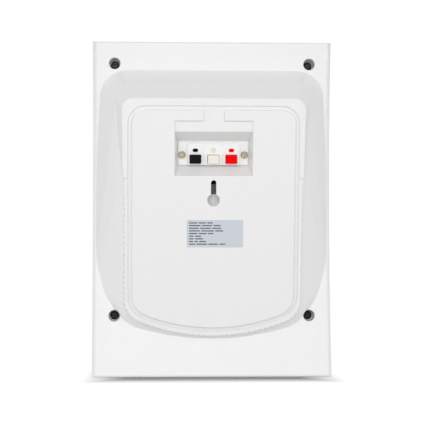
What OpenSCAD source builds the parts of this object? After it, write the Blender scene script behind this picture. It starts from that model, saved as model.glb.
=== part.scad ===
// Wall speaker with a bowed cabinet, a tilted back panel and push terminals.
// X runs across the cabinet, Y from the front to the wall side, Z up from the base.

/* [Cabinet] */
// Width of the cabinet
cabinet_w = 200; // [192:1:230]
// Height of the cabinet
cabinet_h = 280; // [276:1:310]
// Depth of the cabinet frame, from its back edge to its front
frame_depth = 48; // [46:1:60]
// Radius of the bow of the cabinet's back edge, seen from the side
back_r = 700; // [600:10:1000]
// Wall thickness of the mouldings
wall = 2.6; // [2.2:0.1:3]
// Rounding along the sides of the back cover
side_round = 3.5; // [2:0.5:5]
// Rounding along the top and bottom edges
end_round = 1.6; // [1:0.1:2.4]
// Rounding along the sides of the front
front_round = 6; // [3:0.5:8]
// Depth of the back cover's skirt, down to the seam
skirt_depth = 12; // [10:0.5:16]

/* [Back panel] */
// Tilt of the back panel, its top further from the front
panel_tilt = 10; // [8:0.5:11]
// Height above the base at which the panel's height is set
panel_foot_z = 34; // [30:1:38]
// Height of the panel over the middle of the bow at that place
panel_foot_y = 16; // [14:0.5:20]
// Width across the fluted rim
rim_w = 147; // [140:1:150]
// Width of the rim at its top
rim_top_w = 150; // [148:1:154]
// Place of the rim's top edge, up the panel
rim_top = 197.3; // [194:0.1:202]
// Place of the parting line across the rim, up the panel
parting = 131.7; // [120:0.5:140]
// Radius of the rim's wide bottom curve
rim_bottom_r = 160; // [140:2:190]
// Radius of the rim's bottom corners
rim_corner_r = 20; // [14:1:26]
// Radius of the rim's top corners
rim_top_r = 9; // [6:0.5:12]
// Height of the fluted rim's edge
rim_h = 5; // [4:0.5:6]
// Width of the rim beside the raised panel
land_w = 6.8; // [5:0.2:8]
// Width of the rim above the raised panel
land_top = 9.5; // [8:0.5:12]
// Width of the flat lip along the rim's outer edge
lip_w = 3.4; // [2:0.2:4]
// Depth of the groove between the lip and the raised panel
dish_depth = 1.1; // [0.5:0.1:1.4]
// Rise of the raised panel over the rim
panel_rise = 2; // [1.5:0.1:2.6]
// Radius of the raised panel's top corners
panel_top_r = 11; // [8:0.5:14]

/* [Flutes] */
// Distance from flute to flute along the rim
flute_pitch = 4.7; // [4:0.1:6]
// Radius of a flute
flute_r = 1.5; // [1:0.1:1.8]
// Depth of a flute
flute_depth = 0.9; // [0.5:0.1:1.2]

/* [Cover flanks] */
// Distance from the cabinet's side to the foot of the flank
flank_side = 2.5; // [2.5:0.1:8]
// Distance from the cabinet's top down to where the top flank would meet the bow's middle
flank_top = 18.4; // [16:0.2:21]
// Corner radius of the flank's foot
flank_corner_r = 25; // [20:1:30]
// Height of the shoulder between the two slopes of a flank
shoulder_y = 33; // [30:0.5:34]
// Width across the shoulder
shoulder_w = 161; // [156:1:166]
// Height of the shoulder's top edge above the rim's top edge, straight up
shoulder_top = 14.5; // [11:0.5:16]

/* [Housing screws] */
// Distance of the screws from the cabinet's side
screw_side = 18.3; // [16:0.1:20]
// Distance of the top screws from the cabinet's top
screw_top = 17.9; // [16:0.1:20]
// Height of the bottom screws above the base
screw_bottom = 50.8; // [48:0.2:54]
// Diameter of the counterbore
counterbore_d = 9.6; // [9:0.1:10.4]
// Depth of the screw head's top under the surface
head_sunk = 12; // [10:0.5:14]
// Diameter of the screw head
head_d = 7.3; // [6.6:0.1:7.8]
// Height of the screw head
head_h = 2.4; // [2:0.1:3]
// Diameter of the screw's shank
shank_d = 3.9; // [3.5:0.1:4.2]
// Length of the screw's shank
shank_l = 18; // [14:1:20]

/* [Terminal recess] */
// Width of the recess at the panel
recess_w = 63.6; // [62:0.2:68]
// Bottom of the recess, up the panel
recess_bottom = 134.4; // [133:0.2:137]
// Top of the recess, up the panel
recess_top = 170.2; // [168:0.2:173]
// Depth of the recess
recess_depth = 14; // [12:0.5:16]
// Width of the recess floor
floor_w = 59; // [58.4:0.2:60]
// Height of the recess floor
floor_h = 20.4; // [19.8:0.2:21]
// Middle of the recess floor, up the panel
floor_mid = 151.2; // [150:0.1:153]
// Height of the shallow shelf above the recess
shelf_h = 9; // [7:0.5:10]
// Width of the cable channel
channel_w = 16.8; // [12:0.2:20]

/* [Keyhole] */
// Diameter of the round entry
key_entry_d = 10; // [9:0.1:11]
// Width of the slot
key_slot_w = 4.3; // [4:0.1:4.8]
// Middle of the round entry, up the panel
key_mid = 114.2; // [112:0.2:118]
// Top end of the slot, up the panel
key_top = 130.6; // [129:0.2:132]
// Depth of the room for the screw head behind the panel
key_room = 7.4; // [6:0.2:8]

/* [Terminals] */
// Distance from cell to cell
cell_pitch = 14.8; // [14.2:0.1:15]
// Width of the terminal block
block_w = 42.6; // [42:0.2:44]
// Height of the terminal block
block_h = 18; // [17.4:0.1:18.4]
// Rise of the block's front over the recess floor
block_rise = 6.2; // [5.4:0.1:6.6]
// Depth of the block behind the recess floor
block_back = 10; // [9:0.5:12]
// Width of a push button
button_w = 9; // [8.4:0.1:9.4]
// Height of a push button
button_h = 6.8; // [6.4:0.1:7.4]
// How far a button stands out of the block
button_out = 3.4; // [3:0.1:3.8]
// Travel of a button
button_travel = 2.5; // [2:0.1:2.8]
// Distance from the terminal's middle to its screws
terminal_screw_x = 25.7; // [25.4:0.1:26]
// Distance of the terminal screws below the middle of the block
terminal_screw_low = 1.1; // [0:0.1:1.6]
// Diameter of the terminal screws' shank
terminal_shank_d = 2.8; // [2.6:0.1:3]
// Length of the terminal screws' shank
terminal_screw_l = 7.4; // [6:0.1:7.6]
// Diameter of the terminal screw heads
terminal_head_d = 5.8; // [5:0.1:6]
// Diameter of the middle wire hole
wire_hole_d = 3.8; // [3.4:0.1:4]
// Distance of the wire holes above the middle of the block
wire_hole_up = 3; // [2.8:0.1:3.4]

/* [Label] */
// Width of the label
label_w = 46; // [40:1:52]
// Height of the label
label_h = 22.4; // [18:0.2:26]
// Middle of the label, up the panel
label_mid = 86.4; // [80:0.2:90]
// Distance of the label's middle from the cabinet's middle
label_side = 1.4; // [0:0.1:3]

/* [Front] */
// Width of the bezel beside the grille
bezel_w = 12; // [10:0.5:16]
// Corner radius of the grille
grille_r = 6; // [3:0.5:10]
// Height of a grille slot
slot_h = 4; // [3:0.1:4.4]
// Distance from slot row to slot row
slot_pitch = 8; // [7.5:0.1:10]
// Width of the ribs between the slots
rib_w = 6; // [4:0.5:8]
// Distance from the middle of the bow's back edge to the baffle's front
baffle_set = 24; // [23:0.5:26]
// Thickness of the baffle
baffle_t = 3; // [2.6:0.1:3.4]

/* [Driver] */
// Outside diameter of the driver
driver_d = 158; // [154:1:160]
// Height of the driver's middle above the base
driver_z = 118; // [114:1:120]
// Width of the driver's rim that rests on the baffle
driver_lip = 8; // [7.5:0.1:9.5]
// Depth from the gasket's face to the basket floor
basket_depth = 25.2; // [24:0.2:26]
// Diameter of the magnet
magnet_d = 70; // [64:1:74]
// Thickness of the magnet
magnet_t = 10; // [8:0.5:11]
// Diameter of the voice coil former
coil_d = 26; // [25:0.1:26.4]
// Shank diameter of the screws of the driver and of the transformer
fixing_d = 2.9; // [2.6:0.1:3]
// Head diameter of those screws
fixing_head_d = 6.2; // [5.6:0.1:6.4]
// Shank length of the driver's screws
driver_screw_l = 7.6; // [6:0.1:7.8]

/* [Transformer] */
// Width of the transformer core
core_w = 42; // [40:0.5:44]
// Height of the transformer core, away from the baffle
core_h = 36; // [34:0.5:38]
// Thickness of the core's stack
core_t = 15; // [12:0.5:16]
// Distance of the transformer's middle below the rim's top edge, straight down
core_drop = 11; // [8:0.5:13]
// Shank length of the transformer's screws
trafo_screw_l = 6; // [5:0.1:6.2]

/* [Hidden] */
$fn = 48;

// Small overlap that joins the solids of one piece
join = 0.1;
// Gap between pieces that slide into each other
slip = 0.2;
// Gap round a shank in its hole
shank_gap = 0.05;

mid_z = cabinet_h / 2;
half_w = cabinet_w / 2;
seam_r = back_r + skirt_depth;
front_r = back_r + frame_depth;
bow_span = 2 * asin(mid_z / back_r) + 4;
baffle_front = -baffle_set;
baffle_back = baffle_front + baffle_t;
raised_top = rim_top - land_top;
raised_bottom = land_w + 0.9;
back_y = max(
    panel_foot_y + rim_top * sin(panel_tilt),
    panel_foot_y + raised_top * sin(panel_tilt) + panel_rise * cos(panel_tilt)
);
// Middle of the cabinet's whole depth, which the origin sits under
middle_y = (back_y - frame_depth) / 2;

screw_x = half_w - screw_side;
screw_zs = [cabinet_h - screw_top, screw_bottom];
boss_d = counterbore_d + 2 * wall;
boss_floor = 3;
head_seat = head_sunk + head_h;

terminal_n = -recess_depth;
flange_t = 1.6;
hood_t = 1.6;
bay_floor = -block_back + hood_t;
contact_t = 0.5;
cap_back = bay_floor + contact_t + button_travel + 2.4;
cap_mid = -4.2;
tag_w = 3;

gasket_t = 1.2;
surround_t = 0.5;
former_t = 0.25;
winding_t = 0.35;
plate_t = 4;
plate_d = magnet_d - 10;
pole_r = coil_d / 2 - former_t - 0.55;
gap_r = coil_d / 2 + winding_t + 0.55;
driver_screw_r = driver_d / 2 - 3.1;

rim_top_z = panel_foot_z + rim_top * cos(panel_tilt);
core_z = rim_top_z - core_drop;

trafo_foot = baffle_back + 3;
strap_t = 1;
core_y = trafo_foot + strap_t;
window_w = core_w / 6;
window_h = core_h - 2 * window_w;
foot_l = 10;

// Distance of the bow of radius r from its middle, at height z
function bow_y(r, z) = back_r - sqrt(r * r - (z - mid_z) * (z - mid_z));

// Moves a piece so that the origin is under the middle of the cabinet
module placed() {
    translate([0, -middle_y, 0]) children();
}

// Frame of the back panel: Y is out of the panel, Z is up the panel
module on_panel() {
    translate([0, panel_foot_y, panel_foot_z]) rotate([-panel_tilt, 0, 0]) children();
}

// Frame of the recess floor, with its middle at the origin
module on_floor() {
    on_panel() translate([0, terminal_n, floor_mid]) children();
}

// Plate from n0 to n1 along Y, with a flat outline in X and Z
module plate(n0, n1) {
    translate([0, n1, 0]) rotate([90, 0, 0]) linear_extrude(n1 - n0) children();
}

// Box between two corners
module block(low, high) {
    translate(low) cube(high - low);
}

// Rod along Y
module rod(r, y0, y1) {
    translate([0, y0, 0]) rotate([-90, 0, 0]) cylinder(r = r, h = y1 - y0);
}

// Flat outline swept along the bow: its X is the radius and its Y is across the cabinet
module bow_sweep(z0, z1) {
    intersection() {
        translate([0, back_r, mid_z]) rotate([0, 90, 0]) rotate([0, 0, -90 - bow_span / 2])
            rotate_extrude(angle = bow_span, $fn = 240) children();
        block([-cabinet_w, -frame_depth - 20, z0], [cabinet_w, 60, z1]);
    }
}

// Curved slab between two radii of the bow
module bow_slab(r0, r1, half, z0, z1) {
    bow_sweep(z0, z1) translate([r0, -half]) square([r1 - r0, 2 * half]);
}

// Section of a shell whose corners at radius r0 are rounded
module rounded_section(r0, r1, half, round_r) {
    side = r1 > r0 ? 1 : -1;
    edge = r0 + side * round_r;
    translate([min(edge, r1), -half]) square([abs(r1 - edge), 2 * half]);
    translate([min(r0, edge + side * join), -half + round_r])
        square([round_r + join, 2 * (half - round_r)]);
    for (s = [-1, 1])
        translate([edge, s * (half - round_r)]) circle(r = round_r);
}

// What rounding takes off the edge where the bow of radius r meets the top
module end_cut(r, round_r, side) {
    c_z = cabinet_h - round_r;
    c_r = r + side * round_r;
    c_y = bow_y(c_r, c_z);
    away = [back_r - c_y, mid_z - c_z] * (side / c_r);
    reach = round_r + 1;
    rotate([90, 0, 90]) translate([0, 0, -cabinet_w]) linear_extrude(2 * cabinet_w)
        difference() {
            polygon([
                [c_y, c_z],
                [c_y, c_z + reach],
                [c_y + side * 3 * round_r, c_z + reach],
                [c_y, c_z] + away * reach
            ]);
            translate([c_y, c_z]) circle(r = round_r);
        }
}

// Both ends' rounding, at the top and, mirrored, at the base
module end_cuts(r, round_r, side) {
    end_cut(r, round_r, side);
    translate([0, 0, cabinet_h]) mirror([0, 0, 1]) end_cut(r, round_r, side);
}

// Rounded window through the front, in X and Z
module window(half, z0, z1, r) {
    for (s = [-1, 1], z = [z0 + r, z1 - r])
        translate([s * (half - r), z]) circle(r = r);
    translate([-half, z0 + r]) square([2 * half, z1 - z0 - 2 * r]);
    translate([-half + r, z0]) square([2 * (half - r), z1 - z0]);
}

// Points of an arc after its first, from angle a0 to angle a1 in n steps
function arc(c, r, a0, a1, n) =
    [for (i = [1 : n]) [c[0] + r * cos(a0 + (a1 - a0) * i / n), c[1] + r * sin(a0 + (a1 - a0) * i / n)]];

// Outline with straight sides, a wide bottom curve and rounded corners
module u_outline(half, bottom, top, bottom_r, corner_r, top_r) {
    c_v = bottom + bottom_r;
    f_x = half - corner_r;
    f_v = c_v - sqrt(pow(bottom_r - corner_r, 2) - f_x * f_x);
    turn = atan2(c_v - f_v, f_x);
    right = concat(
        arc([0, c_v], bottom_r, -90, -turn, 12),
        arc([f_x, f_v], corner_r, -turn, 0, 9),
        [[half, top - top_r]],
        arc([half - top_r, top - top_r], top_r, 0, 90, 6)
    );
    polygon(concat(
        [[0, bottom]], right,
        [for (k = [len(right) - 1 : -1 : 0]) [-right[k][0], right[k][1]]]
    ));
}

// The rim's outline, grown by a distance
module rim_outline(grow, top) {
    u_outline(
        rim_w / 2 + grow, -grow, top, rim_bottom_r + grow, rim_corner_r + grow, rim_top_r
    );
}

// The raised panel's outline, shrunk by a distance
module raised_outline(shrink) {
    u_outline(
        rim_w / 2 - land_w - shrink, raised_bottom + shrink, raised_top - shrink,
        rim_bottom_r - land_w - shrink, rim_corner_r - 3 - shrink, panel_top_r - shrink
    );
}

// Places along the fluted edge, from its bottom to the parting line
corner_x = rim_w / 2 - rim_corner_r;
corner_v = rim_bottom_r - sqrt(pow(rim_bottom_r - rim_corner_r, 2) - corner_x * corner_x);
corner_turn = atan2(rim_bottom_r - corner_v, corner_x);
bottom_run = rim_bottom_r * (90 - corner_turn) * PI / 180;
corner_run = rim_corner_r * corner_turn * PI / 180;
side_run = parting - corner_v;
function polar(c, r, a) = [c[0] + r * cos(a), c[1] + r * sin(a)];
function flute_at(s) =
    s < bottom_run
    ? polar([0, rim_bottom_r], rim_bottom_r + flute_r - flute_depth,
            -90 + s / rim_bottom_r * 180 / PI)
    : s < bottom_run + corner_run
    ? polar([corner_x, corner_v], rim_corner_r + flute_r - flute_depth,
            -corner_turn + (s - bottom_run) / rim_corner_r * 180 / PI)
    : [rim_w / 2 + flute_r - flute_depth, corner_v + s - bottom_run - corner_run];

// The fluted lower rim
module fluted_rim() {
    flutes = floor((bottom_run + corner_run + side_run) / flute_pitch);
    plate(-rim_h - 3, 0) difference() {
        rim_outline(0, parting + rim_top_r + 1);
        translate([-rim_w, parting]) square([2 * rim_w, rim_w]);
        for (i = [0 : flutes - 1], s = [-1, 1])
            translate([s * flute_at((i + 0.5) * flute_pitch)[0],
                       flute_at((i + 0.5) * flute_pitch)[1]])
                circle(r = flute_r, $fn = 24);
    }
}

// Short pegs at mirrored places, for the corners of a flank
module corner_pair(x, z, r, y0) {
    for (s = [-1, 1])
        translate([s * x, y0, z]) rotate([90, 0, 0]) cylinder(r = r, h = join, $fn = 32);
}

// Lower slopes of the cover, from the bow up to the shoulder
module lower_slopes(inset) {
    foot_y = -2;
    foot_half = half_w - flank_side - foot_y * 0.4;
    foot_top = cabinet_h - flank_top - foot_y * 0.9;
    hull() {
        corner_pair(foot_half - flank_corner_r, foot_top - flank_corner_r,
                    flank_corner_r - inset, foot_y - 2 * inset);
        corner_pair(foot_half - 40, 88, 40 - inset, foot_y - 2 * inset);
        corner_pair(shoulder_w / 2 - 14, rim_top_z + shoulder_top - 14, 14 - inset,
                    shoulder_y - inset);
        corner_pair(shoulder_w / 2 - 11, panel_foot_z + 125, 5 - inset, shoulder_y - inset);
        on_panel() plate(-rim_h - join - inset, -rim_h - inset)
            rim_outline(0.8 - inset, 122);
        on_panel() plate(-rim_h - 6 - inset, -rim_h - 5 - inset)
            rim_outline(7 - inset, 122);
    }
}

// Steeper slopes, from the shoulder up to the rim's top
module upper_slopes(inset) {
    top_n = inset > 0 ? -inset - dish_depth : 0;
    hull() {
        on_panel() plate(top_n - join, top_n) {
            for (s = [-1, 1]) {
                translate([s * (rim_top_w / 2 - rim_top_r), rim_top - rim_top_r])
                    circle(r = rim_top_r - inset, $fn = 32);
                translate([s * (rim_w / 2 - 1.3), parting + 1.5 - inset])
                    circle(r = 2 - inset / 2, $fn = 16);
            }
        }
        corner_pair(shoulder_w / 2 - 14, rim_top_z + shoulder_top - 14, 14 - inset,
                    shoulder_y - 0.3 - inset);
        corner_pair(rim_w / 2 - 8, panel_foot_z + 122, 8 - inset, shoulder_y - 8 - inset);
    }
}

// Recess for the terminals, grown by a distance
module recess_shape(grow, n_top) {
    hull() {
        on_panel() plate(n_top - join, n_top)
            translate([-recess_w / 2 - grow, recess_bottom - grow])
                square([recess_w + 2 * grow, recess_top - recess_bottom + 2 * grow]);
        on_floor() plate(-grow, -grow + join)
            translate([-floor_w / 2 - grow, -floor_h / 2 - grow])
                square([floor_w + 2 * grow, floor_h + 2 * grow]);
    }
}

// Upright stadium in X and Z, between two heights
module stadium(r, z0, z1) {
    translate([0, z0 + r]) circle(r = r);
    translate([0, z1 - r]) circle(r = r);
    translate([-r, z0 + r]) square([2 * r, z1 - z0 - 2 * r]);
}

// The cover's outside, with no openings
module cover_body() {
    difference() {
        union() {
            bow_sweep(0, cabinet_h) rounded_section(back_r, seam_r, half_w, side_round);
            lower_slopes(0);
            upper_slopes(0);
            on_panel() fluted_rim();
        }
        bow_slab(seam_r, seam_r + 60, cabinet_w, -1, cabinet_h + 1);
        end_cuts(back_r, end_round, 1);
        on_panel() plate(-dish_depth, 1) raised_outline(-land_w + lip_w);
        on_panel() plate(-0.5, 1)
            translate([-rim_w, parting - 0.25]) square([2 * rim_w, 0.5]);
    }
    on_panel() plate(-dish_depth - 1, panel_rise) raised_outline(0);
}

// The room inside the cover
module cover_room() {
    bow_slab(back_r + wall, seam_r + 1, half_w - wall, wall, cabinet_h - wall);
    lower_slopes(wall);
    upper_slopes(wall);
    on_panel() plate(-rim_h - 8, -wall - dish_depth) rim_outline(-wall - 1.2, parting);
    on_panel() plate(-wall - dish_depth - join, panel_rise - wall) difference() {
        raised_outline(wall);
        translate([-recess_w / 2 - wall, recess_bottom - 2 * wall]) square([recess_w + 2 * wall, 90]);
    }
}

// Room for the head of the wall screw, grown by a distance
module key_pocket(grow) {
    n_back = panel_rise - wall - key_room - grow;
    on_panel() plate(n_back, panel_rise - wall + (grow > 0 ? join : 0))
        translate([-key_entry_d / 2 - 0.8 - grow, key_mid - key_entry_d / 2 - 0.8 - grow])
            square([key_entry_d + 1.6 + 2 * grow,
                    key_top - key_mid + key_entry_d / 2 + 2.4 + 2 * grow]);
}

// The hollow cover with its recess, pocket and bosses still closed
module closed_cover() {
    difference() {
        cover_body();
        cover_room();
    }
    recess_shape(wall - 0.4, -0.8);
    key_pocket(2);
    for (s = [-1, 1]) {
        on_floor() translate([s * terminal_screw_x, 0, -terminal_screw_low]) rod(3.1, -8, -1);
        for (z = screw_zs)
            translate([s * screw_x, 0, z])
                rod(boss_d / 2, bow_y(back_r, z) - head_seat - boss_floor,
                    bow_y(back_r, z) - wall + join);
    }
}

// Opening for the terminals, with its shelf and cable channel
module terminal_opening() {
    recess_shape(0, 0);
    on_panel() plate(-join, panel_rise + 1) {
        translate([-recess_w / 2, recess_bottom])
            square([recess_w, recess_top - recess_bottom + shelf_h]);
        translate([-channel_w / 2, recess_top]) square([channel_w, raised_top + 1 - recess_top]);
    }
    on_floor() plate(-wall - 1, 1)
        translate([-block_w / 2 - slip, -block_h / 2 - slip])
            square([block_w + 2 * slip, block_h + 2 * slip]);
}

// Keyhole for the wall screw
module keyhole() {
    key_pocket(0);
    on_panel() plate(-2, panel_rise + 1) {
        translate([0, key_mid]) circle(d = key_entry_d);
        stadium(key_slot_w / 2, key_mid, key_top);
    }
    on_panel() plate(-key_room - 5, -2)
        stadium(key_slot_w / 2, key_top - key_slot_w - 0.2, key_top);
}

// Shallow seat that the label lies in
module label_seat() {
    on_panel() plate(panel_rise - 0.2, panel_rise + 1)
        translate([-label_side - label_w / 2 - 0.1, label_mid - label_h / 2 - 0.1])
            square([label_w + 0.2, label_h + 0.2]);
}

module rear_housing() {
    color("white") placed() difference() {
        difference() {
            difference() {
                closed_cover();
                terminal_opening();
            }
            keyhole();
            label_seat();
        }
        for (s = [-1, 1]) {
            on_floor() translate([s * terminal_screw_x, 0, -terminal_screw_low])
                rod(terminal_shank_d / 2 + shank_gap, -terminal_screw_l + 0.4, 1);
            for (z = screw_zs)
                translate([s * screw_x, bow_y(back_r, z), z]) {
                    rod(counterbore_d / 2, -head_seat, 20);
                    rod(shank_d / 2 + 0.3, -head_seat - boss_floor - 1, 0);
                }
        }
    }
}

module front_frame() {
    color("white") placed() difference() {
        union() {
            difference() {
                bow_sweep(0, cabinet_h) rounded_section(front_r, seam_r, half_w, front_round);
                bow_slab(seam_r - 1, front_r - wall, half_w - wall, wall, cabinet_h - wall);
                end_cuts(front_r, front_round - 1, -1);
            }
            block([-half_w + wall - join, baffle_front, wall - join],
                  [half_w - wall + join, baffle_back, cabinet_h - wall + join]);
            difference() {
                bow_slab(seam_r - 3, seam_r + join, half_w - wall - slip,
                         wall + slip, cabinet_h - wall - slip);
                bow_slab(seam_r - 4, seam_r + 1, half_w - wall - 1.4,
                         wall + 1.4, cabinet_h - wall - 1.4);
            }
            difference() {
                bow_slab(seam_r, seam_r + 4, half_w - wall + join, wall - join,
                         cabinet_h - wall + join);
                bow_slab(seam_r - 1, seam_r + 5, half_w - wall - 1.4,
                         wall + 1.4, cabinet_h - wall - 1.4);
            }
            for (s = [-1, 1]) {
                for (z = screw_zs)
                    translate([s * screw_x, 0, z])
                        rod(boss_d / 2 - 1, baffle_back - join,
                            bow_y(back_r, z) - head_seat - boss_floor);
                translate([s * (core_w / 2 + strap_t + foot_l / 2), 0, core_z])
                    rod(4, baffle_back - join, trafo_foot);
            }
            driver_ring() rod(4, -baffle_t - 4, -baffle_t + join);
        }
        grille_slab(front_r - wall - 1, front_r + 1, 0);
        on_driver() rod(driver_d / 2 - driver_lip, -baffle_t - 5, 1);
        driver_ring() rod(fixing_d / 2 + shank_gap, gasket_t + 0.6 - driver_screw_l, 1);
        for (s = [-1, 1]) {
            for (z = screw_zs)
                translate([s * screw_x, bow_y(back_r, z) - head_seat, z])
                    rod(shank_d / 2 + shank_gap, -shank_l - 0.6, 0);
            translate([s * (core_w / 2 + strap_t + foot_l / 2), 0, core_z])
                rod(fixing_d / 2 + shank_gap, trafo_foot - trafo_screw_l + 0.6, trafo_foot + 1);
        }
    }
}

// Curved slab that fills the window in the front, grown by a distance
module grille_slab(r0, r1, grow) {
    intersection() {
        bow_slab(r0, r1, half_w - 1, 1, cabinet_h - 1);
        plate(-frame_depth - 10, 0)
            window(half_w - bezel_w + grow, bezel_w - grow, cabinet_h - bezel_w + grow,
                   grille_r + grow);
    }
}

module grille() {
    slot_area = cabinet_w - 2 * bezel_w - 2 * rib_w;
    slot_l = (slot_area - 2 * rib_w) / 3;
    rows = floor((cabinet_h - 2 * bezel_w - 2 * rib_w) / slot_pitch);
    color("white") placed() difference() {
        union() {
            grille_slab(front_r - wall, front_r, -slip);
            grille_slab(front_r - wall - 2, front_r - wall, 3);
        }
        plate(-frame_depth - 10, 0)
            for (row = [0 : rows - 1], column = [-1 : 1])
                translate([column * (slot_l + rib_w), mid_z + (row - (rows - 1) / 2) * slot_pitch])
                    rotate([0, 0, 90]) translate([0, -slot_l / 2]) stadium(slot_h / 2, 0, slot_l);
    }
}

module acoustic_cloth() {
    color("black") placed()
        grille_slab(front_r - wall - 2.8, front_r - wall - 2, 2.5);
}

// Cross recess of a screw head, from its top down
module cross_recess(d, y) {
    for (a = [0, 90])
        rotate([0, a, 0]) block([-d * 0.3, y - d * 0.2, -d * 0.07], [d * 0.3, y + 1, d * 0.07]);
}

// Pan head screw along Y, with its head's seat at the origin
module screw(head, height, shank, length) {
    difference() {
        union() {
            rod(head / 2, 0, height * 0.55);
            translate([0, height * 0.55, 0]) rotate([-90, 0, 0])
                cylinder(r1 = head / 2, r2 = head / 2 - height * 0.4, h = height * 0.45);
        }
        cross_recess(head, height);
    }
    rod(shank / 2, -length, 0);
}

module housing_screws() {
    color("black") placed()
        for (s = [-1, 1], z = screw_zs)
            translate([s * screw_x, bow_y(back_r, z) - head_seat, z])
                screw(head_d, head_h, shank_d, shank_l);
}

// Places children at the three cells of the terminal block
module at_cell(cell) {
    on_floor() translate([cell * cell_pitch, 0, 0]) children();
}

module terminal_body() {
    bay_half = button_w / 2 + 0.3;
    bay_bottom = cap_mid - button_h / 2 - 0.3;
    color("snow") placed() difference() {
        union() {
            on_floor() {
                block([-terminal_screw_x - 2.9, 0, -block_h / 2 - 0.5],
                      [terminal_screw_x + 2.9, flange_t, block_h / 2 + 0.5]);
                block([-block_w / 2, -block_back, -block_h / 2],
                      [block_w / 2, block_rise, block_h / 2]);
            }
        }
        for (cell = [-1 : 1])
            at_cell(cell) {
                block([-bay_half, bay_floor, bay_bottom],
                      [bay_half, block_rise - hood_t, block_h / 2 - 2.2]);
                block([-bay_half, 0, bay_bottom],
                      [bay_half, block_rise + 1, cap_mid + button_h / 2 + 0.3]);
                block([-tag_w / 2 - 0.1, -block_back - 1, -0.35],
                      [tag_w / 2 + 0.1, bay_floor + 1, 0.35]);
                plate(0, block_rise + 1) translate([0, wire_hole_up])
                    if (cell == 0)
                        circle(d = wire_hole_d);
                    else
                        rotate([0, 0, 90]) stadium(1.5, -2.3, 2.3);
            }
        for (s = [-1, 1]) {
            on_floor() translate([s * terminal_screw_x, 0, -terminal_screw_low])
                rod(terminal_shank_d / 2 + 0.2, -1, flange_t + 1);
            on_floor() block([s * cell_pitch / 2 - 0.35, block_rise - 0.8, -block_h],
                             [s * cell_pitch / 2 + 0.35, block_rise + 1, cap_mid + button_h / 2]);
            on_floor() translate([s * cell_pitch / 2, 0, block_h / 2 - 1.8])
                rod(0.5, block_rise - 1, block_rise + 1);
        }
    }
}

// Push button: the cap and, close under the hood, the slide that shuts the wire hole
module push_button(cell) {
    slide_n = block_rise - hood_t - slip;
    placed() at_cell(cell) {
        block([-button_w / 2, cap_back, cap_mid - button_h / 2],
              [button_w / 2, block_rise + button_out, cap_mid + button_h / 2]);
        block([-button_w / 2, slide_n - 2, cap_mid],
              [button_w / 2, slide_n, block_h / 2 - 2.8]);
    }
}

module button_black() { color("black") push_button(1); }
module button_white() { color("ivory") push_button(0); }
module button_red() { color("red") push_button(-1); }

module terminal_contacts() {
    color("silver") placed()
        for (cell = [-1 : 1])
            at_cell(cell) {
                block([-button_w / 2 + 0.5, bay_floor, -6], [button_w / 2 - 0.5, bay_floor + contact_t, 6]);
                block([-tag_w / 2, -block_back - 6, -0.25], [tag_w / 2, bay_floor + join, 0.25]);
            }
}

// Leaf spring between the contact and the button's cap
module leaf_spring(cell) {
    low = bay_floor + contact_t;
    leaf_t = 0.3;
    color("silver") placed() at_cell(cell)
        rotate([90, 0, 90]) translate([0, 0, -2.5]) linear_extrude(5)
            polygon([
                [low, -6], [low, 3], [low + leaf_t, 3.3], [cap_back, -4.8],
                [cap_back - leaf_t, -5.1], [low + 2 * leaf_t, 1.9], [low + leaf_t, 1.6],
                [low + leaf_t, -6]
            ]);
}

module spring_black() leaf_spring(1);
module spring_white() leaf_spring(0);
module spring_red() leaf_spring(-1);

module terminal_screws() {
    color("gold") placed()
        for (s = [-1, 1])
            on_floor() translate([s * terminal_screw_x, flange_t, -terminal_screw_low])
                screw(terminal_head_d, 1.8, terminal_shank_d, terminal_screw_l);
}

module rating_label() {
    color("lightsteelblue") placed() on_panel()
        plate(panel_rise - 0.2, panel_rise - 0.05)
            translate([-label_side, 0])
                window(label_w / 2, label_mid - label_h / 2, label_mid + label_h / 2, 1);
}

// Frame of the driver: Y counts from the gasket's face on the baffle
module on_driver() {
    translate([0, baffle_back, driver_z]) children();
}

// Turned piece on the driver's axis: its outline's X is the radius, its Y the depth
module turned() {
    on_driver() rotate([-90, 0, 0]) rotate_extrude($fn = 96) children();
}

// Places children at the driver's four screws
module driver_ring() {
    on_driver()
        for (a = [45 : 90 : 315])
            translate([driver_screw_r * cos(a), 0, driver_screw_r * sin(a)]) children();
}

// Flat ring in a turned outline
module ring(r0, r1, y0, y1) {
    translate([r0, y0]) square([r1 - r0, y1 - y0]);
}

surround_r = driver_d / 2 - 7.5;
roll_r = 4;
roll_mid = surround_r - 6.5 - roll_r;
cone_r = roll_mid - roll_r - 0.4;
seat_y = gasket_t + surround_t;
shelf_y = basket_depth - 5.2;
shelf_r = coil_d / 2 + 21;
floor_r = coil_d / 2 + 25;

module woofer_gasket() {
    color("dimgray") placed() difference() {
        turned() ring(surround_r - 5.8, driver_d / 2, 0, gasket_t);
        driver_ring() rod(1.8, -1, gasket_t + 1);
    }
}

module woofer_basket() {
    t = 1;
    inner_r = surround_r - 5.1;
    color("darkgray") placed() difference() {
        turned() polygon([
            [driver_d / 2, gasket_t], [surround_r + 0.1, gasket_t], [surround_r + 0.1, seat_y],
            [inner_r, seat_y], [floor_r, shelf_y], [shelf_r, shelf_y], [shelf_r, basket_depth - t],
            [gap_r + 0.6, basket_depth - t], [gap_r + 0.6, basket_depth],
            [shelf_r + t, basket_depth], [shelf_r + t, shelf_y + t], [floor_r + 0.5, shelf_y + t],
            [inner_r + 0.4, seat_y + t], [surround_r + 1.1, seat_y + t],
            [surround_r + 1.1, gasket_t + t], [driver_d / 2, gasket_t + t]
        ]);
        driver_ring() rod(1.8, 0, 5);
        on_driver()
            for (a = [45 : 90 : 315])
                rotate([0, a, 0]) block([floor_r - 2, seat_y + 3.5, -15], [inner_r + 2, shelf_y - 3, 15]);
    }
}

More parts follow.
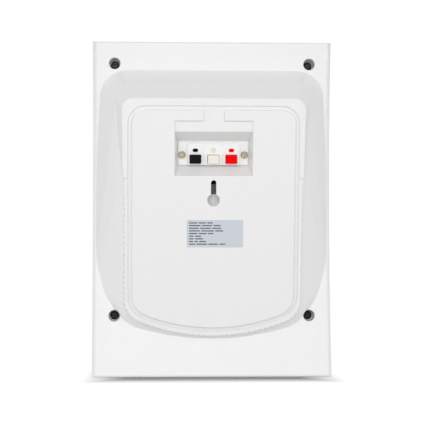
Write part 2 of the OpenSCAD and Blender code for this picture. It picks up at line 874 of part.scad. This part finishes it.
module woofer_surround() {
    color("black") placed() turned() {
        ring(roll_mid + roll_r - surround_t, surround_r, gasket_t, seat_y);
        ring(cone_r - 3.4, roll_mid - roll_r + surround_t, gasket_t, seat_y);
        difference() {
            translate([roll_mid, seat_y]) circle(r = roll_r);
            translate([roll_mid, seat_y]) circle(r = roll_r - surround_t);
            ring(0, driver_d, seat_y, seat_y + 2 * roll_r);
        }
    }
}

neck_r = coil_d / 2 + 0.05;

module woofer_cone() {
    color("dimgray") placed() turned() polygon([
        [cone_r, seat_y], [cone_r, seat_y + 0.6], [cone_r - 3.4, seat_y + 0.6],
        [neck_r + 0.6, shelf_y + 0.6], [neck_r, shelf_y + 0.6], [neck_r, shelf_y - 0.1],
        [cone_r - 3.8, seat_y]
    ]);
}

module woofer_dust_cap() {
    cap_r = 18;
    cap_h = 6;
    dome_r = (cap_r * cap_r + cap_h * cap_h) / (2 * cap_h);
    slope = (shelf_y - 0.1 - seat_y) / (cone_r - 3.8 - neck_r);
    edge_y = seat_y + (cone_r - 3.8 - cap_r) * slope - 0.2;
    color("black") placed() turned() intersection() {
        difference() {
            translate([0, edge_y - cap_h + dome_r]) circle(r = dome_r);
            translate([0, edge_y - cap_h + dome_r]) circle(r = dome_r - 0.5);
        }
        ring(0, cap_r, edge_y - cap_h - 1, edge_y);
    }
}

module woofer_spider() {
    r0 = neck_r;
    r1 = shelf_r + 3.4;
    waves = 5;
    steps = 40;
    mid_y0 = shelf_y + 1.25;
    mid_y1 = shelf_y - 0.25;
    t = 0.25;
    flat_f = (shelf_r - 0.4 - r0) / (r1 - r0);
    function wave_y(f) = mid_y0 + (mid_y1 - mid_y0) * min(f / flat_f, 1)
        + 0.55 * sin(360 * waves * f) * (f < 0.12 || f > flat_f - 0.06 ? 0 : 1);
    color("goldenrod") placed() turned() polygon(concat(
        [for (i = [0 : steps]) [r0 + (r1 - r0) * i / steps, wave_y(i / steps) - t]],
        [for (i = [steps : -1 : 0]) [r0 + (r1 - r0) * i / steps, wave_y(i / steps) + t]]
    ));
}

module woofer_voice_coil() {
    color("peru") placed() turned() {
        ring(coil_d / 2 - former_t, coil_d / 2, shelf_y - 1, basket_depth + 5.5);
        ring(coil_d / 2 - join / 2, coil_d / 2 + winding_t, basket_depth - 0.8, basket_depth + 4.8);
    }
}

module woofer_top_plate() {
    color("silver") placed()
        turned() ring(gap_r, plate_d / 2, basket_depth, basket_depth + plate_t);
}

module woofer_magnet() {
    color("dimgray") placed()
        turned() ring(gap_r + 2, magnet_d / 2, basket_depth + plate_t, basket_depth + plate_t + magnet_t);
}

module woofer_yoke() {
    back = basket_depth + plate_t + magnet_t;
    color("silver") placed() turned() {
        ring(3, plate_d / 2, back, back + plate_t);
        ring(3, pole_r, basket_depth, back + join);
    }
}

module woofer_screws() {
    color("silver") placed()
        driver_ring() translate([0, gasket_t + 1, 0])
            screw(fixing_head_d, 2, fixing_d, driver_screw_l);
}

// Frame of the transformer: X across, Y away from the baffle, from the core's base
module on_core() {
    translate([0, core_y, core_z]) children();
}

module transformer_core() {
    color("gray") placed() on_core() difference() {
        block([-core_w / 2, 0, -core_t / 2], [core_w / 2, core_h, core_t / 2]);
        for (s = [-1, 1])
            translate([s * window_w * 1.5, core_h / 2, 0])
                cube([window_w, window_h, core_t + 1], center = true);
    }
}

module transformer_bobbin() {
    flange_z = core_t / 2 + 6.3;
    color("ivory") placed() on_core() translate([0, core_h / 2, 0]) difference() {
        union() {
            cube([2 * window_w + 1.8, window_h - 0.2, core_t + 1.8], center = true);
            for (s = [-1, 1])
                translate([0, s * (window_h / 2 - 0.6), 0])
                    cube([4 * window_w - 0.2, 1, 2 * flange_z], center = true);
        }
        cube([2 * window_w + 0.2, window_h, core_t + 0.2], center = true);
    }
}

module transformer_winding() {
    color("orangered") placed() on_core() translate([0, core_h / 2, 0]) difference() {
        cube([4 * window_w - 1.2, window_h - 2.4, core_t + 11.4], center = true);
        cube([2 * window_w + 1.9, window_h, core_t + 1.9], center = true);
    }
}

module transformer_bracket() {
    leg = core_w / 2 + strap_t;
    foot = leg + foot_l;
    top = core_h + strap_t;
    color("silver") placed() on_core() difference() {
        translate([0, 0, -core_t / 2]) linear_extrude(core_t) {
            for (s = [-1, 1]) {
                translate([s * (leg - strap_t / 2), top / 2 - strap_t / 2])
                    square([strap_t, top + strap_t], center = true);
                translate([s * (leg + foot_l / 2 - strap_t / 2), -strap_t / 2])
                    square([foot_l + strap_t, strap_t], center = true);
            }
            translate([0, core_h + strap_t / 2]) square([2 * leg, strap_t], center = true);
        }
        for (s = [-1, 1])
            translate([s * (leg + foot_l / 2), 0, 0]) rod(1.8, -2 * strap_t, 1);
    }
}

module transformer_tags() {
    color("silver") placed() on_core()
        for (i = [-2 : 2])
            translate([i * 5, core_h / 2 + window_h / 2 - 0.6, core_t / 2 + 6.3])
                block([-0.5, -0.3, 0], [0.5, 0.3, 4.5]);
}

module transformer_screws() {
    color("silver") placed() on_core()
        for (s = [-1, 1])
            translate([s * (core_w / 2 + strap_t + foot_l / 2), 0, 0])
                screw(fixing_head_d, 2, fixing_d, trafo_screw_l);
}

front_frame();
grille();
acoustic_cloth();
rear_housing();
housing_screws();
terminal_body();
terminal_contacts();
terminal_screws();
button_black();
button_white();
button_red();
spring_black();
spring_white();
spring_red();
rating_label();
woofer_gasket();
woofer_basket();
woofer_surround();
woofer_cone();
woofer_dust_cap();
woofer_spider();
woofer_voice_coil();
woofer_top_plate();
woofer_magnet();
woofer_yoke();
woofer_screws();
transformer_core();
transformer_bobbin();
transformer_winding();
transformer_bracket();
transformer_tags();
transformer_screws();
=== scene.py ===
import math

import bmesh
import bpy
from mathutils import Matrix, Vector


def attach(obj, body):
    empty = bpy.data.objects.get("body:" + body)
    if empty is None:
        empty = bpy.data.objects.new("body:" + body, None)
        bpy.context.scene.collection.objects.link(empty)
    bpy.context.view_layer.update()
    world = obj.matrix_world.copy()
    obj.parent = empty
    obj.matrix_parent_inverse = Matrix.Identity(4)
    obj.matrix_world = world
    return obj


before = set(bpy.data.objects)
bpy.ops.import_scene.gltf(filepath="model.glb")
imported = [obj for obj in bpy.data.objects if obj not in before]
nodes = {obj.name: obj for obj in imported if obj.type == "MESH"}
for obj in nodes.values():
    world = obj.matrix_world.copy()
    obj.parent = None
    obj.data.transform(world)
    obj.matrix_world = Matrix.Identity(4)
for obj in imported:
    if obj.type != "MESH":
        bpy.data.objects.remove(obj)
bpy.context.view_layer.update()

# A white wall speaker seen from behind: moulded back cover, push terminals,
# screws in their wells, label, and the grille and driver on the hidden side.

MM = 0.001


# ---------------------------------------------------------------- frame of the back panel

PANEL_TILT = math.radians(10)
PANEL_Y, PANEL_Z = 16, 34  # where the panel's own axes start, in mm
MIDDLE_Y = 1.2904 * MM


def on_panel(x, n, v):
    """Point in the row frame for mm on the back panel: x across, n out and v up the panel."""
    y = PANEL_Y + n * math.cos(PANEL_TILT) + v * math.sin(PANEL_TILT)
    z = PANEL_Z - n * math.sin(PANEL_TILT) + v * math.cos(PANEL_TILT)
    return Vector((x * MM, y * MM - MIDDLE_Y, z * MM))


# ---------------------------------------------------------------- shader node groups

FLOAT, VECTOR = "NodeSocketFloat", "NodeSocketVector"

# Heights of the fine relief, in metres
WAVE_DEPTH = 0.0004
GRAIN_DEPTH = 0.00003
STREAK_DEPTH = 0.00002
THREAD_DEPTH = 0.0001


class Wiring:
    """Adds nodes to a tree, with plain values or links for their inputs."""

    def __init__(self, tree):
        self.tree = tree

    def put(self, target, value):
        if isinstance(value, bpy.types.NodeSocket):
            self.tree.links.new(value, target)
        else:
            target.default_value = value

    def fill(self, node, inputs):
        for key, value in inputs.items():
            self.put(node.inputs[key], value)

    def node(self, kind, inputs=None, **settings):
        made = self.tree.nodes.new(kind)
        for key, value in settings.items():
            setattr(made, key, value)
        self.fill(made, inputs or {})
        return made

    def math(self, operation, *values):
        return self.node(
            "ShaderNodeMath", dict(enumerate(values)), operation=operation
        ).outputs[0]

    def times(self, a, b):
        return self.math("MULTIPLY", a, b)

    def place(self):
        return self.node("ShaderNodeTexCoord").outputs["Object"]

    def split(self, where):
        return self.node("ShaderNodeSeparateXYZ", {"Vector": where}).outputs

    def noise(self, where, scale, detail=3.0, rough=0.5):
        return self.node(
            "ShaderNodeTexNoise",
            {"Vector": where, "Scale": scale, "Detail": detail, "Roughness": rough},
        ).outputs["Fac"]

    def span(self, value, low, high, to_low=0.0, to_high=1.0):
        return self.node("ShaderNodeMapRange", {
            "Value": value, "From Min": low, "From Max": high,
            "To Min": to_low, "To Max": to_high,
        }).outputs["Result"]

    def between(self, value, low, high):
        """One where the value lies between the two bounds, else nought."""
        return self.times(
            self.math("GREATER_THAN", value, low), self.math("LESS_THAN", value, high)
        )

    def mix(self, amount, a, b):
        return self.node(
            "ShaderNodeMix", {0: amount, 6: a, 7: b}, data_type="RGBA"
        ).outputs[2]

    def soft_edge(self, radius, samples):
        return self.node("ShaderNodeBevel", {"Radius": radius}, samples=samples).outputs[0]

    def bump(self, height, strength, distance, normal=None):
        inputs = {"Height": height, "Strength": strength, "Distance": distance}
        if normal is not None:
            inputs["Normal"] = normal
        return self.node("ShaderNodeBump", inputs).outputs["Normal"]


def new_group(name, inputs, outputs):
    """A node group with these inputs and outputs: its tree, wiring, input and output node."""
    tree = bpy.data.node_groups.new(name, "ShaderNodeTree")
    for label, value in inputs.items():
        socket = tree.interface.new_socket(label, in_out="INPUT", socket_type=FLOAT)
        socket.default_value = value
    for label, kind in outputs.items():
        tree.interface.new_socket(label, in_out="OUTPUT", socket_type=kind)
    given = tree.nodes.new("NodeGroupInput").outputs
    return tree, Wiring(tree), given, tree.nodes.new("NodeGroupOutput")


def moulded_grain_group():
    """Fine spark texture of a moulding, with a slow waviness and a faint drift of its shade."""
    tree, w, given, result = new_group(
        "Moulded grain",
        {"Grain Scale": 2600.0, "Grain": 0.1, "Wave": 0.1, "Drift": 0.02, "Edge": 0.0006},
        {"Shade": FLOAT, "Gloss Mask": FLOAT, "Normal": VECTOR},
    )
    where = w.place()
    fine = w.noise(where, given["Grain Scale"], 2.0)
    slow = w.noise(where, 38.0, 2.0)
    middle = w.noise(where, 180.0)
    waved = w.bump(slow, given["Wave"], WAVE_DEPTH, w.soft_edge(given["Edge"], 6))
    drift = w.times(w.math("SUBTRACT", middle, 0.5), given["Drift"])
    w.fill(result, {
        "Shade": w.math("ADD", drift, 1.0),
        "Gloss Mask": middle,
        "Normal": w.bump(fine, given["Grain"], GRAIN_DEPTH, waved),
    })
    return tree


def plated_metal_group():
    """Drawn or turned metal with plating: fine streaks and a cloudy tint."""
    tree, w, given, result = new_group(
        "Plated metal",
        {"Streak Scale": 900.0, "Cloud": 0.4, "Edge": 0.0002},
        {"Tint": FLOAT, "Marks": FLOAT, "Normal": VECTOR},
    )
    where = w.place()
    drawn_out = w.node(
        "ShaderNodeMapping", {"Vector": where, "Scale": (1.0, 0.15, 1.0)}
    ).outputs[0]
    streaks = w.noise(drawn_out, given["Streak Scale"], 4.0, 0.6)
    cloud = w.noise(where, 240.0)
    w.fill(result, {
        "Tint": w.times(cloud, given["Cloud"]),
        "Marks": streaks,
        "Normal": w.bump(streaks, 0.15, STREAK_DEPTH, w.soft_edge(given["Edge"], 4)),
    })
    return tree


def weave_group():
    """Plain weave on the X and Z axes: crossing threads with gaps and slubs."""
    tree, w, given, result = new_group(
        "Plain weave",
        {"Threads": 1400.0, "Relief": 0.6},
        {"Thread": FLOAT, "Slub": FLOAT, "Normal": VECTOR},
    )
    where = w.place()
    axes = w.split(where)
    turns = w.times(given["Threads"], 2 * math.pi)
    across = w.math("SINE", w.times(axes["X"], turns))
    up = w.math("SINE", w.times(axes["Z"], turns))
    cloth = w.math("MULTIPLY_ADD", w.times(across, up), 0.5, 0.5)
    w.fill(result, {
        "Thread": cloth,
        "Slub": w.noise(where, 420.0, 2.0),
        "Normal": w.bump(cloth, given["Relief"], THREAD_DEPTH),
    })
    return tree


def fibre_group():
    """Pressed pulp, foam or rubber: soft mottling in coarse and fine spots."""
    tree, w, given, result = new_group(
        "Pressed fibre",
        {"Mottle Scale": 700.0, "Relief": 0.4},
        {"Mottle": FLOAT, "Normal": VECTOR},
    )
    mottle = w.noise(w.place(), given["Mottle Scale"], 5.0, 0.65)
    w.fill(result, {
        "Mottle": mottle,
        "Normal": w.bump(mottle, given["Relief"], THREAD_DEPTH),
    })
    return tree


MOULDED, PLATED, WEAVE, FIBRE = (
    moulded_grain_group(), plated_metal_group(), weave_group(), fibre_group()
)


# ---------------------------------------------------------------- materials

PLASTIC_IOR = 1.52
MASK_LOW, MASK_HIGH = 0.3, 0.7  # most of the noise lies between these


def shader_of(material):
    return material.node_tree.nodes["Principled BSDF"]


def shaded(name):
    """A new material, its wiring helper and its Principled shader."""
    made = bpy.data.materials.new(name)
    made.use_nodes = True
    return made, Wiring(made.node_tree), shader_of(made)


def use_group(w, tree, values):
    made = w.node("ShaderNodeGroup", node_tree=tree)
    w.fill(made, {key.replace("_", " "): value for key, value in values.items()})
    return made.outputs


def rgb(colour):
    return (*colour, 1.0)


def moulded_plastic(name, colour, low, high, coat=0.0, shine=0.5, **values):
    """Injection-moulded plastic, its roughness between low and high."""
    made, w, bsdf = shaded(name)
    grain = use_group(w, MOULDED, values)
    tinted = w.node(
        "ShaderNodeVectorMath", {0: colour, "Scale": grain["Shade"]}, operation="SCALE"
    )
    w.fill(bsdf, {
        "Base Color": tinted.outputs[0],
        "Roughness": w.span(grain["Gloss Mask"], MASK_LOW, MASK_HIGH, low, high),
        "Normal": grain["Normal"],
        "IOR": PLASTIC_IOR,
        "Specular IOR Level": shine,
        "Coat Weight": coat,
        "Coat Roughness": 0.12,
    })
    return made


def plated(name, colour, second, low, high, metallic=1.0, shine=0.5, **values):
    """Plated, painted or bare metal whose tint clouds between two colours."""
    made, w, bsdf = shaded(name)
    metal = use_group(w, PLATED, values)
    w.fill(bsdf, {
        "Base Color": w.mix(metal["Tint"], rgb(colour), rgb(second)),
        "Roughness": w.span(metal["Marks"], MASK_LOW, MASK_HIGH, low, high),
        "Normal": metal["Normal"],
        "Metallic": metallic,
        "Specular IOR Level": shine,
    })
    return made


def woven(name, colour, gap, threads):
    """Cloth whose threads darken to the colour of the gaps between them."""
    made, w, bsdf = shaded(name)
    cloth = use_group(w, WEAVE, {"Threads": threads})
    thread = w.mix(cloth["Thread"], rgb(gap), rgb(colour))
    w.fill(bsdf, {
        "Base Color": w.mix(w.times(cloth["Slub"], 0.3), thread, rgb(gap)),
        "Normal": cloth["Normal"],
        "Roughness": 0.9,
        "Sheen Weight": 0.2,
    })
    return made


def fibrous(name, colour, second, roughness, **values):
    """Paper, foam, rubber or ferrite, mottled between two colours."""
    made, w, bsdf = shaded(name)
    fibre = use_group(w, FIBRE, values)
    w.fill(bsdf, {
        "Base Color": w.mix(fibre["Mottle"], rgb(colour), rgb(second)),
        "Normal": fibre["Normal"],
        "Roughness": roughness,
    })
    return made


white_abs = moulded_plastic(
    "White moulded plastic", (0.88, 0.88, 0.88), 0.34, 0.46, 0.05,
    Grain=0.08, Wave=0.05, Drift=0.02, Edge=0.0007,
)
terminal_white = moulded_plastic(
    "White terminal plastic", (0.94, 0.94, 0.93), 0.34, 0.46, 0.1,
    Grain=0.06, Wave=0.04, Drift=0.03, Edge=0.0003,
)
button_black = moulded_plastic(
    "Black button plastic", (0.004, 0.004, 0.004), 0.4, 0.55, 0.0, 0.08,
    Grain=0.1, Wave=0.05, Drift=0.1, Edge=0.0005,
)
button_cream = moulded_plastic(
    "Cream button plastic", (0.9, 0.87, 0.76), 0.3, 0.42, 0.1,
    Grain=0.08, Wave=0.05, Drift=0.04, Edge=0.0005,
)
button_red = moulded_plastic(
    "Red button plastic", (0.92, 0.0, 0.002), 0.4, 0.52, 0.0, 0.05,
    Grain=0.08, Wave=0.05, Drift=0.05, Edge=0.0005,
)
bobbin_nylon = moulded_plastic(
    "Ivory nylon", (0.76, 0.7, 0.52), 0.4, 0.55,
    Grain=0.1, Wave=0.1, Drift=0.06, Edge=0.0003,
)
label_film = moulded_plastic(
    "Label film", (0.62, 0.66, 0.72), 0.38, 0.5,
    Grain=0.04, Wave=0.12, Drift=0.04, Edge=0.0001,
)
print_grey = moulded_plastic(
    "Grey label print", (0.1, 0.105, 0.12), 0.5, 0.6,
    Grain=0.05, Wave=0.0, Drift=0.3, Edge=0.00001,
)
black_steel = plated(
    "Blackened steel", (0.006, 0.006, 0.007), (0.016, 0.016, 0.017), 0.2, 0.4, 0.0, 0.22,
    Cloud=0.5, Edge=0.0003,
)
yellow_zinc = plated(
    "Yellow zinc plating", (0.66, 0.58, 0.38), (0.3, 0.24, 0.2), 0.2, 0.36,
    Cloud=0.9, Edge=0.0003,
)
bright_zinc = plated(
    "Bright zinc plating", (0.62, 0.64, 0.67), (0.5, 0.52, 0.55), 0.22, 0.42,
    Cloud=0.6, Edge=0.0003,
)
tinned = plated(
    "Tinned contact metal", (0.72, 0.71, 0.68), (0.6, 0.58, 0.54), 0.2, 0.36,
    Cloud=0.5, Edge=0.00015,
)
spring_steel = plated(
    "Spring steel", (0.55, 0.55, 0.54), (0.42, 0.42, 0.44), 0.18, 0.32,
    Cloud=0.5, Edge=0.0001,
)
basket_paint = plated(
    "Painted basket steel", (0.06, 0.062, 0.065), (0.09, 0.092, 0.095), 0.4, 0.6, 0.0,
    Cloud=0.5, Edge=0.0004,
)
laminations = plated(
    "Laminated core steel", (0.2, 0.19, 0.18), (0.32, 0.27, 0.22), 0.45, 0.65,
    Streak_Scale=2600.0, Cloud=0.9, Edge=0.0002,
)
enamelled_copper = plated(
    "Enamelled copper", (0.72, 0.3, 0.12), (0.5, 0.17, 0.06), 0.2, 0.36,
    Streak_Scale=3200.0, Cloud=0.6, Edge=0.0002,
)
grille_cloth = woven("Black grille cloth", (0.03, 0.03, 0.032), (0.004, 0.004, 0.004), 1100.0)
spider_cloth = woven("Tan spider cloth", (0.5, 0.33, 0.14), (0.2, 0.12, 0.05), 1600.0)
cone_paper = fibrous("Pressed cone paper", (0.035, 0.035, 0.036), (0.07, 0.068, 0.066), 0.85)
cap_cloth = woven("Dust cap cloth", (0.03, 0.03, 0.03), (0.01, 0.01, 0.01), 1800.0)
roll_rubber = fibrous(
    "Surround rubber", (0.012, 0.012, 0.012), (0.03, 0.03, 0.03), 0.6, Relief=0.2
)
gasket_foam = fibrous("Gasket foam", (0.05, 0.05, 0.05), (0.1, 0.1, 0.1), 0.95, Relief=0.9)
ferrite = fibrous("Ferrite", (0.05, 0.05, 0.055), (0.09, 0.09, 0.095), 0.5, Relief=0.3)


# The room behind the keyhole's slot, in metres in the row frame, where the cover gets a painted
# shade
SLOT_ROOM = {"X": (-0.0034, 0.0034), "Y": (0.018, 0.0345), "Z": (0.1515, 0.1685)}
# Painted shade colour for the recess behind the slot, a dark purple grey
SLOT_PAINTED_SHADE = (0.11, 0.1, 0.14)


def paint_shade_in_slot(material):
    """Painted shade: the cover's colour turns a dark purple grey inside the room behind the
    slot, where shade falls.
    """
    w = Wiring(material.node_tree)
    target = shader_of(material).inputs["Base Color"]
    plain = target.links[0].from_socket
    axes = w.split(w.place())
    inside = 1.0
    for axis, (low, high) in SLOT_ROOM.items():
        inside = w.times(inside, w.between(axes[axis], low, high))
    w.put(target, w.mix(inside, plain, rgb(SLOT_PAINTED_SHADE)))


paint_shade_in_slot(white_abs)

FINISHES = {
    "front_frame": white_abs,
    "grille": white_abs,
    "acoustic_cloth": grille_cloth,
    "rear_housing": white_abs,
    "housing_screws": black_steel,
    "terminal_body": terminal_white,
    "terminal_contacts": tinned,
    "terminal_screws": yellow_zinc,
    "button_black": button_black,
    "button_white": button_cream,
    "button_red": button_red,
    "spring_black": spring_steel,
    "spring_white": spring_steel,
    "spring_red": spring_steel,
    "rating_label": label_film,
    "woofer_gasket": gasket_foam,
    "woofer_basket": basket_paint,
    "woofer_surround": roll_rubber,
    "woofer_cone": cone_paper,
    "woofer_dust_cap": cap_cloth,
    "woofer_spider": spider_cloth,
    "woofer_voice_coil": enamelled_copper,
    "woofer_top_plate": bright_zinc,
    "woofer_magnet": ferrite,
    "woofer_yoke": bright_zinc,
    "woofer_screws": bright_zinc,
    "transformer_core": laminations,
    "transformer_bobbin": bobbin_nylon,
    "transformer_winding": enamelled_copper,
    "transformer_bracket": bright_zinc,
    "transformer_tags": tinned,
    "transformer_screws": bright_zinc,
}

for name, finish in FINISHES.items():
    mesh = nodes[name].data
    mesh.materials.clear()
    mesh.materials.append(finish)


# ---------------------------------------------------------------- print on the label

def link(thing):
    bpy.context.scene.collection.objects.link(thing)


def piece_from(bm, name, material):
    """A new piece in the scene from a mesh under construction, which is used up."""
    mesh = bpy.data.meshes.new(name)
    bm.to_mesh(mesh)
    bm.free()
    mesh.materials.append(material)
    piece = bpy.data.objects.new(name, mesh)
    link(piece)
    return piece


# All in mm on the panel
LABEL_MID_X, LABEL_MID_V, LABEL_RISE = -1.4, 86.4, 1.95
BARS_LEFT, BARS_TOP = LABEL_MID_X + 21.4, LABEL_MID_V + 9.0
BAR_HEIGHT, BAR_CORNER, BAR_GAP, ROW_PITCH = 0.95, 0.3, 1.0, 2.2
BAR_RISE, BAR_SINK = 0.03, 0.01
BAR_LENGTHS = (
    (7.0, 6.0, 4.5), (9.5, 8.5, 6.0), (8.0, 9.0, 7.5),
    (9.0, 10.5, 6.5), (7.0, 6.5, 4.5), (4.0, 5.0),
    (4.0, 6.5), (3.5, 3.0, 5.5), (5.0, 9.0, 8.0, 5.0),
)


def rounded_bar(bm, x, v, width):
    """A thin bar of print on the label, its middle at x and v on the panel."""
    corners = []
    for sx, sv, start in ((1, 1, 0), (-1, 1, 90), (-1, -1, 180), (1, -1, 270)):
        for step in range(4):
            a = math.radians(start + 30 * step)
            corners.append((
                x + sx * (width / 2 - BAR_CORNER) + BAR_CORNER * math.cos(a),
                v + sv * (BAR_HEIGHT / 2 - BAR_CORNER) + BAR_CORNER * math.sin(a),
            ))
    top = [bm.verts.new(on_panel(cx, LABEL_RISE + BAR_RISE, cv)) for cx, cv in corners]
    foot = [bm.verts.new(on_panel(cx, LABEL_RISE - BAR_SINK, cv)) for cx, cv in corners]
    bm.faces.new(top)
    bm.faces.new(foot[::-1])
    for i in range(len(top)):
        j = (i + 1) % len(top)
        bm.faces.new((top[i], foot[i], foot[j], top[j]))


def print_on_label():
    """Rows of plain grey bars, each from the label's left edge."""
    bm = bmesh.new()
    for row, lengths in enumerate(BAR_LENGTHS):
        # X runs to the left of someone who looks at the back
        x = BARS_LEFT
        for length in lengths:
            rounded_bar(bm, x - length / 2, BARS_TOP - row * ROW_PITCH, length)
            x -= length + BAR_GAP
    bmesh.ops.recalc_face_normals(bm, faces=bm.faces)
    piece = piece_from(bm, "label_bars", print_grey)
    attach(piece, "cabinet")


print_on_label()


# ---------------------------------------------------------------- floor, light and camera

# The camera sees the floor itself, in its painted shade, up to the first bound, and white past
# the second, in metres
FADE_BEHIND = (0.031, 0.069)
FADE_BESIDE = (0.072, 0.106)
FADE_AHEAD = (0.012, -0.05)


def floor_material(shade, foot_painted_shade):
    """Pale and matt to bounced light; by the cabinet's foot the camera sees it in a darker
    painted shade over the lamps' real shadow, and plain white a little way off.
    """
    made, w, bsdf = shaded("Studio floor")
    where = w.place()
    axes = w.split(where)
    behind = w.span(axes["Y"], *FADE_BEHIND)
    beside = w.span(w.math("ABSOLUTE", axes["X"]), *FADE_BESIDE)
    ahead = w.span(axes["Y"], *FADE_AHEAD)
    off = w.math("MAXIMUM", behind, w.math("MAXIMUM", beside, ahead))
    path = w.node("ShaderNodeLightPath").outputs
    seen = w.math("MAXIMUM", path["Is Camera Ray"], path["Is Glossy Ray"])
    speck = w.times(w.noise(where, 30.0), 0.04)
    tone = w.mix(speck, rgb((shade,) * 3), rgb((shade * 0.8,) * 3))
    w.fill(bsdf, {
        # Painted shade: camera rays see the dark foot tone in place of the pale floor tone
        "Base Color": w.mix(path["Is Camera Ray"], tone, rgb((foot_painted_shade,) * 3)),
        "Roughness": 0.9,
        "Specular IOR Level": 0.0,
    })
    white = w.node("ShaderNodeEmission", {"Color": (1, 1, 1, 1), "Strength": 1.0})
    mixed = w.node(
        "ShaderNodeMixShader", {0: w.times(seen, off), 1: bsdf.outputs[0], 2: white.outputs[0]}
    )
    out = next(n for n in w.tree.nodes if n.type == "OUTPUT_MATERIAL")
    w.put(out.inputs["Surface"], mixed.outputs[0])
    return made


def pale_floor(half_size, material):
    bm = bmesh.new()
    bmesh.ops.create_grid(bm, x_segments=4, y_segments=4, size=half_size)
    floor = piece_from(bm, "studio_floor", material)


def soft_world(level, overhead, sideways):
    """White to the camera; its light is weaker from above and from the sides."""
    world = bpy.data.worlds.new("Studio")
    bpy.context.scene.world = world
    world.use_nodes = True
    w = Wiring(world.node_tree)
    seen = w.node("ShaderNodeLightPath").outputs["Is Camera Ray"]
    way = w.split(w.node("ShaderNodeTexCoord").outputs["Generated"])
    above = w.span(way["Z"], 0.0, 0.8, 1.0, overhead)
    beside = w.span(w.math("ABSOLUTE", way["X"]), 0.2, 1.0, 1.0, sideways)
    light = w.times(w.times(above, beside), level)
    strength = w.node("ShaderNodeMix", {0: seen, 2: light, 3: 1.0}, data_type="FLOAT")
    w.fill(world.node_tree.nodes["Background"], {
        "Color": (1, 1, 1, 1),
        "Strength": strength.outputs[0],
    })


def aimed(name, data, place, way):
    """A lamp or camera in the scene at a place, and turned to look along a way."""
    made = bpy.data.objects.new(name, data)
    made.location = place
    made.rotation_euler = way.to_track_quat("-Z", "Y").to_euler()
    link(made)
    return made


def soft_lamp(name, place, target, size, watts):
    data = bpy.data.lights.new(name, "AREA")
    data.shape = "RECTANGLE"
    data.size, data.size_y = size
    data.energy = watts
    aimed(name, data, place, Vector(target) - Vector(place))


# The camera as fitted to the photograph's outline
CAMERA_PLACE = (0.051, 1.2 - MIDDLE_Y, 0.092)
CAMERA_YAW, CAMERA_PITCH = math.radians(2.47), math.radians(2.17)
FOCAL_PX, PICTURE_PX, SENSOR_MM = 1423.0, 425.0, 36.0


def studio_camera():
    data = bpy.data.cameras.new("Camera")
    data.sensor_width = SENSOR_MM
    data.lens = FOCAL_PX / PICTURE_PX * SENSOR_MM
    data.clip_start, data.clip_end = 0.05, 50.0
    forward = Vector((
        -math.sin(CAMERA_YAW) * math.cos(CAMERA_PITCH),
        -math.cos(CAMERA_YAW) * math.cos(CAMERA_PITCH),
        math.sin(CAMERA_PITCH),
    ))
    bpy.context.scene.camera = aimed("Camera", data, CAMERA_PLACE, forward)


# The floor by the foot is in a painted shade of 0.38 to the camera
pale_floor(half_size=6.0, material=floor_material(shade=0.82, foot_painted_shade=0.38))
soft_world(level=1.18, overhead=0.41, sideways=0.92)
soft_lamp("Key", (0.15, 1.9, 0.45), (0, 0, 0.12), size=(1.2, 0.6), watts=9.8)
studio_camera()
bpy.context.scene.view_settings.view_transform = "Standard"
